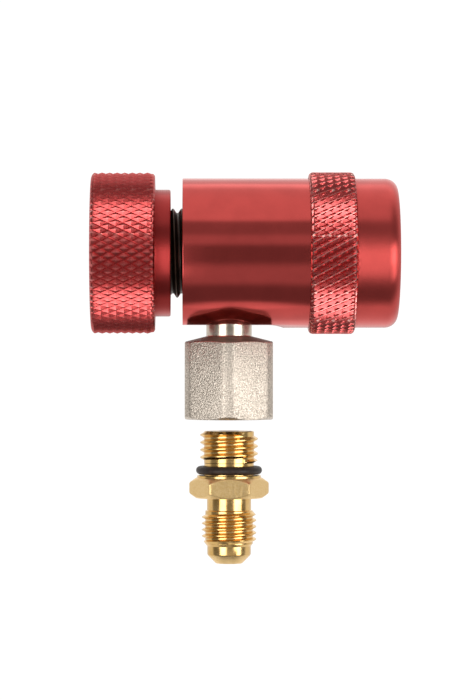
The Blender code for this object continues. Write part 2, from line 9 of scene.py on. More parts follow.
import bmesh
import bpy
import numpy as np
from mathutils import Euler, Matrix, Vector


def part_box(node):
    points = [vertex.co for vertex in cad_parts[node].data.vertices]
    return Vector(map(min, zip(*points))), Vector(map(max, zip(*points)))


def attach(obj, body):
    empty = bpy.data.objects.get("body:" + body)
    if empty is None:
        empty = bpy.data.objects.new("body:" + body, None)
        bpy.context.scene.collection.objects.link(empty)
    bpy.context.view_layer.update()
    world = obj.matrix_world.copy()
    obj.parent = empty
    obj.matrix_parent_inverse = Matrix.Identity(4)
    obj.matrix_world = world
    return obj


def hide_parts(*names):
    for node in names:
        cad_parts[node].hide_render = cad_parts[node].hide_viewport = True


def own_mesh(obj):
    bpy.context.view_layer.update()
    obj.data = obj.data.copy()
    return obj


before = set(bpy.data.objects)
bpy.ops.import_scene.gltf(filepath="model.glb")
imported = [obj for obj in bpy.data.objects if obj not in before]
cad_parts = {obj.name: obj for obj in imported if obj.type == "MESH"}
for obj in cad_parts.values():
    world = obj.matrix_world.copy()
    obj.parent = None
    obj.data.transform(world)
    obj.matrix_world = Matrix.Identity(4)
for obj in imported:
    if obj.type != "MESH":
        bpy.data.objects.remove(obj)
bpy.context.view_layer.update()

MM = 0.001
TURN = 2 * math.pi


def station(node, axis, end):
    """One face of a CAD node's box, in millimetres. End 0 is its lowest and end 1 its highest."""
    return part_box(node)[end][axis] / MM


def centre(node, axis):
    return (station(node, axis, 0) + station(node, axis, 1)) / 2


# Places, in millimetres, read from the frame. The coupler lies along X, and its outlet along Z.
KNOB_BACK = station("handwheel", 0, 0)
BOSS_FRONT = station("handwheel", 0, 1)
BODY_BACK = station("valve_body", 0, 0)
NOSE_FRONT = station("valve_body", 0, 1)
SLEEVE_BACK = station("release_sleeve", 0, 0)
SLEEVE_FRONT = station("release_sleeve", 0, 1)
SCREW_FRONT = station("actuator_screw", 0, 1)
RING_BACK = station("sleeve_retaining_ring", 0, 0)
RING_FRONT = station("sleeve_retaining_ring", 0, 1)
NECK_TOP = station("outlet_swivel", 2, 1)
NUT_BOTTOM = station("outlet_swivel", 2, 0)
ADAPTER_TOP = station("hose_adapter", 2, 1)
ADAPTER_BOTTOM = station("hose_adapter", 2, 0)
OUTLET_X = centre("outlet_swivel", 0)
BODY_RADIUS = station("valve_body", 1, 1)
KNOB_RADIUS = station("handwheel", 1, 1)
KNURL_RADIUS = station("release_sleeve", 1, 1)

THREAD_RELIEF = 1.6  # depth of the relief in the boss that the thread runs out into
CORNER_STEPS = 3  # straight stretches in a rounded corner
TOUCHING = 1e-7  # metres: points closer than this are one point

ALONG_X = Euler((0, math.radians(90), 0))  # turns local Z to +X
UPRIGHT = Euler((0, 0, 0))
ON_AXIS = (0, 0, 0)
AT_OUTLET = (OUTLET_X, 0, 0)


# ---------------------------------------------------------------- building turned pieces


class Turning:
    """A turned piece, built ring by ring round local Z. Each ring joins the one before it."""

    def __init__(self, angles):
        self.angles = np.asarray(angles)
        self.count = len(self.angles)
        self.points = []
        self.faces = []
        self.first = None
        self.last = None
        self.crease = None

    def _points(self, heights, radii, angles):
        start = len(self.points)
        rows = np.broadcast_arrays(radii * np.cos(angles), radii * np.sin(angles), heights)
        self.points += list(np.column_stack([row.ravel() for row in rows]))
        return list(range(start, len(self.points)))

    def _join(self, one, other):
        """Quads from ring to ring, or triangles that follow the grooves or the ridges of a knurl."""
        for i in range(self.count):
            j = (i + 1) % self.count
            corners = (one[i], one[j], other[j], other[i])
            if self.crease is None:
                self.faces.append(corners)
                continue
            reach = [math.hypot(*self.points[corner][:2]) for corner in corners]
            a, b, c, d = corners
            if self.crease == "ridges" or reach[0] + reach[2] < reach[1] + reach[3]:
                self.faces += [(a, b, c), (a, c, d)]
            else:
                self.faces += [(a, b, d), (b, c, d)]

    def _follow(self, ring):
        if self.last is None:
            self.first = ring
        else:
            self._join(self.last, ring)
        self.last = ring

    def ring(self, height, radius):
        """A ring at one height, or with one height and radius for each angle."""
        self._follow(self._points(height, np.asarray(radius, float), self.angles))

    def rings(self, profile):
        for height, radius in profile:
            self.ring(height, radius)

    def cap(self):
        self.faces.append(tuple(self.last))
        self.last = None

    def close(self):
        self._join(self.last, self.first)

    def thread(self, start, end, pitch, crest, root, phase, chamfer=1.0, lead=0.12):
        """A right-hand helical thread. Phase is the height of one crest at angle 0. The thread runs
        out past both ends, where it is held to the end and to a chamfer. Lead is the share of a turn
        over which it grows to its full height. Points held to an end keep a sliver between them."""
        low, high = min(start, end), max(start, end)
        around = self.count
        sliver = 0.002
        fractions = np.array([0, 0.06, 0.12, 0.38, 0.44, 0.5, 0.56, 0.62, 0.88, 0.94])
        levels = np.array([0, 0, 0.03, 0.86, 0.99, 1, 0.99, 0.86, 0.03, 0])
        size = len(fractions)
        rows = np.arange(size)
        base = phase - 0.5 * pitch
        run_out = 0.42 * pitch
        first = math.ceil((low - run_out - base) / pitch * around)
        last = math.floor((high + run_out - base) / pitch * around) - around
        bottom = self._points(low, np.full(around, root), self.angles)
        top = self._points(high, np.full(around, root), self.angles)
        helix = {}
        for k in range(first, last + around + 1):
            columns = size if k <= last else 1
            angle = self.angles[k % around]
            ramp = np.clip(min(k - first, last - k) / (lead * around), 0, 1)
            at = base + pitch * (k // around + angle / TURN + fractions[:columns])
            room = np.clip(np.minimum(at - low, high - at), 0, None)
            reach = np.minimum(abs(crest - root) * levels[:columns] * ramp, room * chamfer)
            at = np.maximum(at, low + sliver * (1 + rows[:columns]))
            at = np.minimum(at, high - sliver * (size + 1 - rows[:columns]))
            helix[k] = self._points(at, root + math.copysign(1, crest - root) * reach, angle)
        for k in range(first, last):
            upper = helix[k] + [helix[k + around][0]]
            after = helix[k + 1] + [helix[k + 1 + around][0]]
            for j in range(size):
                self.faces.append((upper[j], after[j], after[j + 1], upper[j + 1]))
        for k in range(around):
            one, other = bottom[(first + k) % around], bottom[(first + k + 1) % around]
            seam = helix[first] if k == around - 1 else []
            self.faces.append((one, other, *seam, helix[first + k + 1][0], helix[first + k][0]))
            one, other = top[(last + k) % around], top[(last + k + 1) % around]
            seam = [helix[last + around][0], *helix[last][:0:-1]] if k == 0 else []
            self.faces.append((helix[last + k][0], helix[last + k + 1][0], other, one, *seam))
        near, far = (bottom, top) if start < end else (top, bottom)
        self._follow(near)
        self.last = far

    def build(self, name, at=ON_AXIS, turn=UPRIGHT, sharp=32):
        mesh = bpy.data.meshes.new(name)
        mesh.from_pydata([tuple(point * MM) for point in self.points], [], self.faces)
        bm = bmesh.new()
        bm.from_mesh(mesh)
        bmesh.ops.remove_doubles(bm, verts=bm.verts, dist=2 * TOUCHING)
        bmesh.ops.recalc_face_normals(bm, faces=bm.faces)
        bm.to_mesh(mesh)
        bm.free()
        mesh.shade_smooth()
        mesh.set_sharp_from_angle(angle=math.radians(sharp))
        obj = bpy.data.objects.new(name, mesh)
        bpy.context.scene.collection.objects.link(obj)
        obj.location = [value * MM for value in at]
        obj.rotation_euler = turn
        return obj


def even(count):
    return np.arange(count) * TURN / count


def arc(middle, radii, start, end, count):
    """Points on an ellipse's arc. 0 degrees points up the axis and 90 points outwards."""
    angles = np.radians(np.linspace(start, end, count + 1))
    return [(middle[0] + radii[0] * math.cos(a), middle[1] + radii[1] * math.sin(a)) for a in angles]


def edge(before, corner, after, size):
    """A rounded corner between two straight stretches of a profile."""
    corner = np.array(corner, float)
    one = np.array(before, float) - corner
    other = np.array(after, float) - corner
    one = corner + one / np.linalg.norm(one) * size
    other = corner + other / np.linalg.norm(other) * size
    found = []
    for t in np.linspace(0, 1, CORNER_STEPS + 1):
        found.append(tuple((1 - t) ** 2 * one + 2 * t * (1 - t) * corner + t**2 * other))
    return found


def softened(profile, size):
    """The closed profile with every corner rounded. A point may carry its own size as a third value."""
    found = []
    for i, point in enumerate(profile):
        own = point[2] if len(point) > 2 else size
        if own == 0:
            found.append(point[:2])
        else:
            after = profile[(i + 1) % len(profile)]
            found += edge(profile[i - 1][:2], point[:2], after[:2], own)
    return found


def torus(name, height, mean, section, at, turn):
    piece = Turning(even(96))
    piece.rings(arc((height, mean), (section / 2, section / 2), 0, 360, 24)[:-1])
    piece.close()
    return piece.build(name, at, turn)


def cut(obj, tool):
    """Cuts the tool out of obj at once, and removes the tool."""
    modifier = obj.modifiers.new("cut", "BOOLEAN")
    modifier.operation = "DIFFERENCE"
    modifier.solver = "EXACT"
    modifier.object = tool
    bpy.context.view_layer.update()
    graph = bpy.context.evaluated_depsgraph_get()
    mesh = bpy.data.meshes.new_from_object(obj.evaluated_get(graph))
    obj.modifiers.clear()
    obj.data = mesh
    bpy.data.objects.remove(tool)


def reshade(obj, sharp):
    obj.data.shade_smooth()
    obj.data.set_sharp_from_angle(angle=math.radians(sharp))


def coil(name, radius, wire, path, per_turn=28, at=ON_AXIS, turn=UPRIGHT):
    """A spring of round wire. Path gives the centre line's height for each turn counted from 0."""
    turns = path[-1][0]
    count = round(turns * per_turn)
    curve = bpy.data.curves.new(name, "CURVE")
    curve.dimensions = "3D"
    curve.bevel_depth = wire / 2 * MM
    curve.bevel_resolution = 4
    curve.use_fill_caps = True
    spline = curve.splines.new("POLY")
    spline.points.add(count)
    for i, point in enumerate(spline.points):
        share = turns * i / count
        height = np.interp(share, [p[0] for p in path], [p[1] for p in path])
        angle = TURN * share
        point.co = (radius * MM * math.cos(angle), radius * MM * math.sin(angle), height * MM, 1)
    guide = bpy.data.objects.new(name + "_guide", curve)
    bpy.context.scene.collection.objects.link(guide)
    bpy.context.view_layer.update()
    graph = bpy.context.evaluated_depsgraph_get()
    mesh = bpy.data.meshes.new_from_object(guide.evaluated_get(graph))
    bpy.data.objects.remove(guide)
    bm = bmesh.new()
    bm.from_mesh(mesh)
    bmesh.ops.remove_doubles(bm, verts=bm.verts, dist=TOUCHING)
    bm.to_mesh(mesh)
    bm.free()
    mesh.name = name
    obj = bpy.data.objects.new(name, mesh)
    bpy.context.scene.collection.objects.link(obj)
    obj.location = [value * MM for value in at]
    obj.rotation_euler = turn
    reshade(obj, 50)
    return obj


# ---------------------------------------------------------------- knurls and hexagons


def wave(phase):
    """A triangle wave: 0 in the middle of a groove and 1 halfway between two grooves."""
    return 1 - np.abs(2 * (phase - np.floor(phase)) - 1)


def knurl_rings(piece, start, end, teeth, pitch, depth, envelope, ridged=False):
    """Rings that carry a diamond knurl on the envelope's radius, from one end face to the other."""
    steps = piece.count // teeth
    step = math.copysign(pitch / steps, end - start)
    heights = [start + step * i for i in range(math.floor((end - start) / step) + 1)]
    if abs(heights[-1] - end) < abs(step) / 3:
        heights.pop()
    piece.crease = "ridges" if ridged else "grooves"
    for height in [*heights, end]:
        around = teeth * piece.angles / TURN
        one = wave(around + (height - start) / pitch)
        other = wave(around - (height - start) / pitch)
        level = np.minimum(one, other)
        if ridged:
            ridge_foot, ridge_slope = 0.68, 0.22
            level = np.maximum(level, np.clip((one - ridge_foot) / ridge_slope, 0, 1))
        piece.ring(height, envelope(height) - depth * (1 - level))
    piece.crease = None


def hexagon_radius(angles, across_flats, twist):
    """Distance from the axis to a hexagon's side. With no twist its flats face local +X and -X."""
    side = TURN / 6
    away = np.mod(angles - twist + side / 2, side) - side / 2
    return across_flats / 2 / np.cos(away)


def hexagon_angles(count, twist, marks):
    """Even angles, with the nearest ones moved to each corner and to each mark beside it."""
    angles = even(count)
    side = TURN / 6
    wanted = [twist + side * k + offset for k in range(6) for offset in marks]
    for angle in np.mod(wanted, TURN):
        away = np.abs(np.angle(np.exp(1j * (angles - angle))))
        angles[int(np.argmin(away))] = angle
    return np.sort(np.mod(angles, TURN))


# ---------------------------------------------------------------- materials


def new_material(name, colour, roughness, metallic, **more):
    material = bpy.data.materials.new(name)
    material.use_nodes = True
    tree = material.node_tree
    shader = tree.nodes["Principled BSDF"]
    shader.inputs["Base Color"].default_value = (*colour, 1)
    shader.inputs["Roughness"].default_value = roughness
    shader.inputs["Metallic"].default_value = metallic
    for socket, value in more.items():
        shader.inputs[socket.replace("_", " ")].default_value = value
    return material, tree, shader


def node(tree, kind, **settings):
    made = tree.nodes.new(kind)
    for key, value in settings.items():
        setattr(made, key, value)
    return made


def noise(tree, scale, detail=3.0, roughness=0.5, stretch=(1, 1, 1)):
    """Noise in the object's own coordinates. Scale is in features for each millimetre."""
    coordinates = node(tree, "ShaderNodeTexCoord")
    mapping = node(tree, "ShaderNodeMapping")
    mapping.inputs["Scale"].default_value = [scale / MM * share for share in stretch]
    texture = node(tree, "ShaderNodeTexNoise")
    texture.inputs["Scale"].default_value = 1.0
    texture.inputs["Detail"].default_value = detail
    texture.inputs["Roughness"].default_value = roughness
    tree.links.new(coordinates.outputs["Object"], mapping.inputs["Vector"])
    tree.links.new(mapping.outputs["Vector"], texture.inputs["Vector"])
    return texture.outputs["Fac"]


def spread(tree, value, low, high, start=0.3, end=0.7):
    """The value mapped to run from low to high."""
    made = node(tree, "ShaderNodeMapRange")
    made.inputs["From Min"].default_value = start
    made.inputs["From Max"].default_value = end
    made.inputs["To Min"].default_value = low
    made.inputs["To Max"].default_value = high
    tree.links.new(value, made.inputs["Value"])
    return made.outputs["Result"]


def two_colours(tree, value, one, other, start=0.35, end=0.65):
    ramp = node(tree, "ShaderNodeValToRGB")
    ramp.color_ramp.elements[0].position = start
    ramp.color_ramp.elements[0].color = (*one, 1)
    ramp.color_ramp.elements[1].position = end
    ramp.color_ramp.elements[1].color = (*other, 1)
    tree.links.new(value, ramp.inputs["Fac"])
    return ramp.outputs["Color"]


def bump(tree, value, distance, strength=1.0, normal=None):
    made = node(tree, "ShaderNodeBump")
    made.inputs["Distance"].default_value = distance * MM
    made.inputs["Strength"].default_value = strength
    tree.links.new(value, made.inputs["Height"])
    if normal is not None:
        tree.links.new(normal, made.inputs["Normal"])
    return made.outputs["Normal"]


def crest_highlight_and_wear(tree, colour, shader, crest_colour, amount):
    """A lighter colour on convex edges. On the red knurls it is a painted highlight on the crests; on the
    black steel it is wear where handling has polished the finish.
    """
    geometry = node(tree, "ShaderNodeNewGeometry")
    edges = spread(tree, geometry.outputs["Pointiness"], 0, amount, 0.52, 0.62)
    mix = node(tree, "ShaderNodeMix", data_type="RGBA")
    tree.links.new(edges, mix.inputs[0])
    tree.links.new(colour, mix.inputs[6])
    mix.inputs[7].default_value = (*crest_colour, 1)
    tree.links.new(mix.outputs[2], shader.inputs["Base Color"])


def anodised_red(name, colour, marks, roughness, brushed=0.0):
    """Dyed aluminium with fine turning marks round the axis. Brushed metal is rougher along it."""
    material, tree, shader = new_material(name, colour, roughness, 1.0)
    cloud = noise(tree, 0.25, 4)
    darker, lighter = [[share * value for value in colour] for share in (0.96, 1.05)]
    tree.links.new(two_colours(tree, cloud, darker, lighter), shader.inputs["Base Color"])
    lines = noise(tree, 5.0, 4, 0.6, (0, 0, 1))
    grain = noise(tree, 9.0, 2)
    tree.links.new(spread(tree, lines, roughness - 0.03, roughness + 0.04), shader.inputs["Roughness"])
    normal = bump(tree, grain, 0.0010)
    tree.links.new(bump(tree, lines, marks, 1.0, normal), shader.inputs["Normal"])
    if brushed:
        shader.inputs["Anisotropic"].default_value = brushed
        shader.inputs["Anisotropic Rotation"].default_value = 0.25
        around = node(tree, "ShaderNodeTangent", direction_type="RADIAL", axis="Z")
        tree.links.new(around.outputs["Tangent"], shader.inputs["Tangent"])
    return material


def knurled_red(name, crest_colour, amount, coat):
    """The same dye on rolled metal: deeper red under a clear sealed film, with a painted highlight in a
    paler colour on the crests.
    """
    material, tree, shader = new_material(name, (0.46, 0.038, 0.040), 0.34, 1.0)
    shader.inputs["Coat Weight"].default_value = coat
    shader.inputs["Coat Roughness"].default_value = 0.2
    shader.inputs["Coat IOR"].default_value = 1.6
    cloud = noise(tree, 1.2, 5, 0.6)
    colour = two_colours(tree, cloud, (0.46, 0.036, 0.036), (0.56, 0.052, 0.050))
    # painted highlight: a paler pink on the knurl's crests
    crest_highlight_and_wear(tree, colour, shader, crest_colour, amount)
    fine = noise(tree, 4.0, 4, 0.65)
    tree.links.new(spread(tree, fine, 0.24, 0.34), shader.inputs["Roughness"])
    tree.links.new(bump(tree, fine, 0.008), shader.inputs["Normal"])
    return material


def blasted_nickel(name):
    """Nickel plate over a blasted surface: coarse grain that sparkles, warm and pale."""
    material, tree, shader = new_material(name, (0.72, 0.62, 0.52), 0.36, 1.0)
    grain = noise(tree, 3.4, 4, 0.6)
    cloud = noise(tree, 0.3, 3)
    colour = two_colours(tree, grain, (0.37, 0.315, 0.262), (0.88, 0.79, 0.69), 0.34, 0.66)
    tree.links.new(colour, shader.inputs["Base Color"])
    tree.links.new(spread(tree, cloud, 0.33, 0.42), shader.inputs["Roughness"])
    tree.links.new(bump(tree, grain, 0.12), shader.inputs["Normal"])
    return material


def bright_nickel(name, dark, light, low, high, metallic=1.0):
    """Turned nickel, not blasted. Its roughness lies between low and high. A darker, duller copy of it
    paints shade on the outlet's cone.
    """
    material, tree, shader = new_material(name, light, 0.14, metallic)
    cloud = noise(tree, 0.5, 4)
    lines = noise(tree, 6.0, 3, 0.5, (0, 0, 1))
    tree.links.new(two_colours(tree, cloud, dark, light), shader.inputs["Base Color"])
    tree.links.new(spread(tree, cloud, low, high), shader.inputs["Roughness"])
    tree.links.new(bump(tree, lines, 0.0015), shader.inputs["Normal"])
    return material


def turned_brass(name):
    """Bright brass with turning marks and a little tarnish."""
    material, tree, shader = new_material(name, (0.86, 0.565, 0.22), 0.14, 1.0)
    cloud = noise(tree, 0.45, 5, 0.6)
    lines = noise(tree, 7.0, 3, 0.5, (0, 0, 1))
    colour = two_colours(tree, cloud, (0.76, 0.47, 0.155), (0.84, 0.565, 0.235))
    tree.links.new(colour, shader.inputs["Base Color"])
    tree.links.new(spread(tree, cloud, 0.15, 0.25), shader.inputs["Roughness"])
    tree.links.new(bump(tree, lines, 0.0025), shader.inputs["Normal"])
    return material


def drawn_brass(name):
    """The flats of a hexagon bar: satin, with fine scratches and a mottled sheen."""
    material, tree, shader = new_material(name, (0.84, 0.58, 0.26), 0.34, 1.0)
    lines = noise(tree, 3.0, 4, 0.6, (1, 1, 0.12))
    grain = noise(tree, 4.5, 3, 0.6)
    colour = two_colours(tree, grain, (0.82, 0.55, 0.22), (0.94, 0.69, 0.35))
    tree.links.new(colour, shader.inputs["Base Color"])
    tree.links.new(spread(tree, lines, 0.30, 0.44), shader.inputs["Roughness"])
    normal = bump(tree, grain, 0.014)
    tree.links.new(bump(tree, lines, 0.014, 1.0, normal), shader.inputs["Normal"])
    return material


def blackened_steel(name):
    """Black oxide with a little oil, rubbed to brown metal on the crests."""
    material, tree, shader = new_material(name, (0.028, 0.019, 0.013), 0.32, 0.6)
    cloud = noise(tree, 1.5, 5, 0.65)
    colour = two_colours(tree, cloud, (0.014, 0.010, 0.007), (0.045, 0.030, 0.020))
    crest_highlight_and_wear(tree, colour, shader, (0.22, 0.13, 0.07), 0.7)
    tree.links.new(spread(tree, cloud, 0.26, 0.48), shader.inputs["Roughness"])
    tree.links.new(bump(tree, cloud, 0.01), shader.inputs["Normal"])
    return material


def spring_steel(name, roughness):
    material, tree, shader = new_material(name, (0.62, 0.61, 0.59), roughness, 1.0)
    cloud = noise(tree, 1.0, 4)
    colour = two_colours(tree, cloud, (0.54, 0.53, 0.51), (0.70, 0.69, 0.67))
    tree.links.new(colour, shader.inputs["Base Color"])
    tree.links.new(spread(tree, cloud, roughness - 0.06, roughness + 0.1), shader.inputs["Roughness"])
    tree.links.new(bump(tree, noise(tree, 6.0, 3), 0.002), shader.inputs["Normal"])
    return material


def black_rubber(name):
    """Moulded rubber: matt, slightly brown where it is dusty."""
    material, tree, shader = new_material(name, (0.016, 0.014, 0.013), 0.5, 0.0, Specular_IOR_Level=0.38)
    cloud = noise(tree, 1.4, 5, 0.6)
    colour = two_colours(tree, cloud, (0.010, 0.005, 0.0035), (0.034, 0.018, 0.012))
    tree.links.new(colour, shader.inputs["Base Color"])
    tree.links.new(spread(tree, cloud, 0.38, 0.6), shader.inputs["Roughness"])
    tree.links.new(bump(tree, noise(tree, 8.0, 3), 0.004), shader.inputs["Normal"])
    return material


RED_BODY = anodised_red("red_body", (0.57, 0.080, 0.073), 0.0006, 0.15)
RED_COLLAR = anodised_red("red_collar", (0.60, 0.084, 0.077), 0.0060, 0.35, 0.85)
# The boss's red is a darker copy of the collar's brushed red: painted shade where the boss sits between the
# knob and the body.
RED_BOSS_PAINTED_SHADE = anodised_red("red_boss_painted_shade", (0.47, 0.055, 0.053), 0.0050, 0.46, 0.92)
# Both knurls carry a painted highlight on their crests; on the ridged ring it is paler and covers more, to
# paint its pale ridge lines.
RED_KNURL = knurled_red("red_knurl", (0.80, 0.30, 0.27), 0.6, 0.6)
RED_RIDGES = knurled_red("red_ridges", (1.0, 0.60, 0.54), 1.0, 0.9)
NICKEL = blasted_nickel("nickel_blasted")
NICKEL_BRIGHT = bright_nickel(
    "nickel_bright", (0.58, 0.49, 0.40), (0.70, 0.61, 0.52), 0.20, 0.28
)
# Painted shade: a darker, duller nickel for the top of the outlet's cone under the body, where the light
# from above is blocked.
NICKEL_PAINTED_SHADE = bright_nickel(
    "nickel_painted_shade", (0.16, 0.135, 0.10), (0.30, 0.255, 0.20), 0.42, 0.55, 0.4
)
BRASS = turned_brass("brass_turned")
BRASS_FLATS = drawn_brass("brass_flats")
BLACK = blackened_steel("black_steel")
STEEL = spring_steel("spring_steel", 0.2)
POLISHED = spring_steel("ball_steel", 0.1)
RUBBER = black_rubber("black_rubber")


def finish_piece(obj, body, nodes, material, others=()):
    """Gives a piece its materials, attaches it to the body it rides on, and hides the CAD nodes it stands
    for.
    Each of others is a material and the test that picks its faces."""
    obj.data.materials.clear()
    obj.data.materials.append(material)
    for polygon in obj.data.polygons:
        polygon.material_index = 0
    for index, (other, test) in enumerate(others):
        obj.data.materials.append(other)
        for polygon in obj.data.polygons:
            if test(polygon.center / MM, polygon.normal):
                polygon.material_index = index + 1
    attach(obj, body)
    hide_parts(*nodes)
    return obj


# ---------------------------------------------------------------- the coupler

SHOULDER = -17.2  # the step between the body's nose and its full radius
COLLAR_BACK = -8.6  # where the sleeve's collar ends and its knurled ring starts
NOSE_RADIUS = 11.0
THREAD_FLOOR = -36.0
CHAMBER_FRONT = -24.0
WIRE_GROOVE = (-13.9, -12.9)  # round the outlet's neck: bottom and top
WIRE_HEIGHT = -13.4
NECK_POCKET = (-10.6, 4.72)  # top and radius
SHANK_RADIUS = 1.95
HEAD_SEAT = -58.8


def make_valve_body():
    ring_groove, tap, gland_seat, chamber, seat = 10.3, 9.15, 6.7, 5.5, 3.0
    socket, socket_floor, seal_bore, seal_floor = 8.15, -14.0, 6.2, -19.0
    seal_groove, groove_back, groove_front = 7.75, -17.4, -15.4
    gland_shoulder = -32.6
    profile = [
        (NOSE_FRONT, socket + 0.5, 0.12),
        (NOSE_FRONT, NOSE_RADIUS, 0.4),
        (RING_FRONT + 0.1, NOSE_RADIUS, 0.08),
        (RING_FRONT + 0.1, ring_groove, 0),
        (RING_BACK - 0.1, ring_groove, 0),
        (RING_BACK - 0.1, NOSE_RADIUS, 0.08),
        (SHOULDER, NOSE_RADIUS, 0),
        (SHOULDER, BODY_RADIUS, 0.25),
        (BODY_BACK, BODY_RADIUS, 0.2),
        (BODY_BACK, tap + 0.15, 0.2),
        (BODY_BACK + 0.5, tap, 0),
        (THREAD_FLOOR, tap, 0),
        (THREAD_FLOOR, gland_seat, 0),
        (gland_shoulder, gland_seat, 0),
        (gland_shoulder, chamber, 0),
        (CHAMBER_FRONT, chamber, 0),
        (CHAMBER_FRONT, seat, 0.1),
        (seal_floor, seat, 0.2),
        (seal_floor, seal_bore, 0),
        (groove_back, seal_bore, 0.08),
        (groove_back, seal_groove, 0),
        (groove_front, seal_groove, 0),
        (groove_front, seal_bore, 0.08),
        (socket_floor, seal_bore, 0.25),
        (socket_floor, socket, 0),
        (NOSE_FRONT - 0.5, socket, 0.1),
    ]
    piece = Turning(even(180))
    piece.rings(softened(profile, 0.1))
    piece.close()
    body = piece.build("valve_body_look", turn=ALONG_X)
    for i in range(6):
        cut(body, ball_hole(i, socket))
    cut(body, outlet_pocket())
    cut(body, milled_flat())
    reshade(body, 28)
    return finish_piece(body, "body", ["valve_body"], RED_BODY)


def ball_hole(index, socket):
    """A radial hole for one ball, with a lip at the socket's wall that keeps the ball in."""
    radius, lip = 2.1, 1.8
    hole = Turning(even(48))
    hole.rings([(NOSE_RADIUS + 1.5, radius), (socket + 0.5, radius), (socket, lip), (socket - 1.15, lip)])
    hole.cap()
    hole.faces.append(tuple(hole.first))
    at = (centre(f"lock_ball_{index + 1}", 0), 0, 0)
    return hole.build("ball_hole", at, Euler((TURN * index / 6, 0, 0)))


def outlet_pocket():
    """The round pocket for the outlet's neck, with the retaining wire's groove."""
    top, radius = NECK_POCKET
    groove_bottom, groove_top = WIRE_GROOVE
    groove = radius + 0.43
    pocket = Turning(even(96))
    pocket.rings([(top, radius), (groove_top, radius), (groove_top, groove), (groove_bottom, groove)])
    pocket.rings([(groove_bottom, radius), (-16.5, radius)])
    pocket.cap()
    pocket.faces.append(tuple(pocket.first))
    return pocket.build("outlet_pocket", AT_OUTLET)


def milled_flat():
    """The flat under the body. Its end has the mill's radius."""
    flat, end, radius, wide = -14.5, -26.0, 8.5, 20
    outline = [(BODY_BACK - 3, flat - 6), (BODY_BACK - 3, flat), (end, flat)]
    for angle in np.linspace(0, 1.2, 40)[1:]:
        outline.append((end + radius * math.sin(angle), flat - radius + radius * math.cos(angle)))
    mesh = bpy.data.meshes.new("milled_flat")
    bm = bmesh.new()
    near = [bm.verts.new((x * MM, -wide * MM, z * MM)) for x, z in outline]
    far = [bm.verts.new((x * MM, wide * MM, z * MM)) for x, z in outline]
    bm.faces.new(near)
    bm.faces.new(far)
    for i in range(len(outline)):
        j = (i + 1) % len(outline)
        bm.faces.new((near[i], near[j], far[j], far[i]))
    bmesh.ops.recalc_face_normals(bm, faces=bm.faces)
    bm.to_mesh(mesh)
    bm.free()
    obj = bpy.data.objects.new("milled_flat", mesh)
    bpy.context.scene.collection.objects.link(obj)
    return obj


def make_handwheel():
    """The knurled wheel, its smooth boss, the counterbore for its screw and the thread's relief."""
    teeth, pitch, depth = 65, 3.05, 0.50
    knob_front, round_edge, boss, relief, hub = -48.8, 0.9, 12.8, 9.3, 4.6
    counterbore, clearance, spigot_end = 4.1, SHANK_RADIUS + 0.3, -56.5
    relief_floor = BOSS_FRONT - THREAD_RELIEF
    rim = KNOB_RADIUS - round_edge - depth
    piece = Turning(even(teeth * 12))
    piece.rings([(relief_floor, hub), (relief_floor, relief), (BOSS_FRONT, relief)])
    piece.rings(edge((BOSS_FRONT, relief), (BOSS_FRONT, boss), (knob_front, boss), 0.35))
    piece.rings([(knob_front + 0.02, boss), (knob_front, boss + 0.06), (knob_front, rim)])

    def envelope(height):
        inside = round_edge - min(knob_front - height, height - KNOB_BACK)
        if inside <= 0:
            return KNOB_RADIUS
        return KNOB_RADIUS - round_edge + math.sqrt(max(0.0, round_edge**2 - inside**2))

    knurl_rings(piece, knob_front - 0.02, KNOB_BACK + 0.02, teeth, pitch, depth, envelope)
    piece.rings([(KNOB_BACK, rim), (KNOB_BACK, counterbore + 0.2), (KNOB_BACK + 0.2, counterbore)])
    piece.rings([(HEAD_SEAT, counterbore), (HEAD_SEAT, clearance)])
    piece.rings([(spigot_end, clearance), (spigot_end, hub)])
    piece.close()
    wheel = piece.build("handwheel_look", turn=ALONG_X, sharp=24)
    # the smooth boss takes the darker red of painted shade
    smooth = [(RED_BOSS_PAINTED_SHADE, lambda at, normal: math.hypot(at.x, at.y) < rim)]
    return finish_piece(wheel, "wheel", ["handwheel"], RED_KNURL, smooth)


def make_actuator_screw():
    pitch, crest, root = 1.75, 9.0, 8.15
    crest_height = -44.36
    spigot, spigot_end, spigot_radius = BOSS_FRONT - THREAD_RELIEF + 0.1, -56.2, 4.55
    shank_bore, tail_bore, tail_floor = 2.1, 3.2, -41.6
    piece = Turning(even(144))
    piece.rings([(SCREW_FRONT, tail_bore), (SCREW_FRONT, root)])
    piece.thread(SCREW_FRONT - 0.05, spigot + 0.05, pitch, crest, root, crest_height)
    piece.rings([(spigot, root), (spigot, spigot_radius), (spigot_end, spigot_radius)])
    piece.rings([(spigot_end, shank_bore), (tail_floor - 2, shank_bore), (tail_floor, shank_bore + 0.3)])
    piece.ring(tail_floor, tail_bore)
    piece.close()
    screw = piece.build("actuator_screw_look", turn=ALONG_X)
    return finish_piece(screw, "wheel", ["actuator_screw"], BLACK)


def make_handwheel_screw():
    """A cap screw with a hexagonal socket."""
    top, tip = station("handwheel_screw", 0, 0), -50.5
    head, seat, socket_flats = 3.5, HEAD_SEAT - 0.2, 3.0
    piece = Turning(hexagon_angles(96, 0, [TURN / 12]))
    socket = hexagon_radius(piece.angles, socket_flats, 0)
    piece.rings([(top + 1.5, socket * 0.2), (top + 1.8, socket), (top + 0.05, socket), (top, socket + 0.12)])
    piece.rings([(top, head - 0.4), (top + 0.1, head - 0.15), (top + 0.35, head), (seat, head)])
    piece.rings([(seat, SHANK_RADIUS), (tip - 0.3, SHANK_RADIUS), (tip, SHANK_RADIUS - 0.3)])
    piece.cap()
    piece.faces.append(tuple(piece.first))
    screw = piece.build("handwheel_screw_look", turn=ALONG_X)
    return finish_piece(screw, "wheel", ["handwheel_screw"], BLACK)


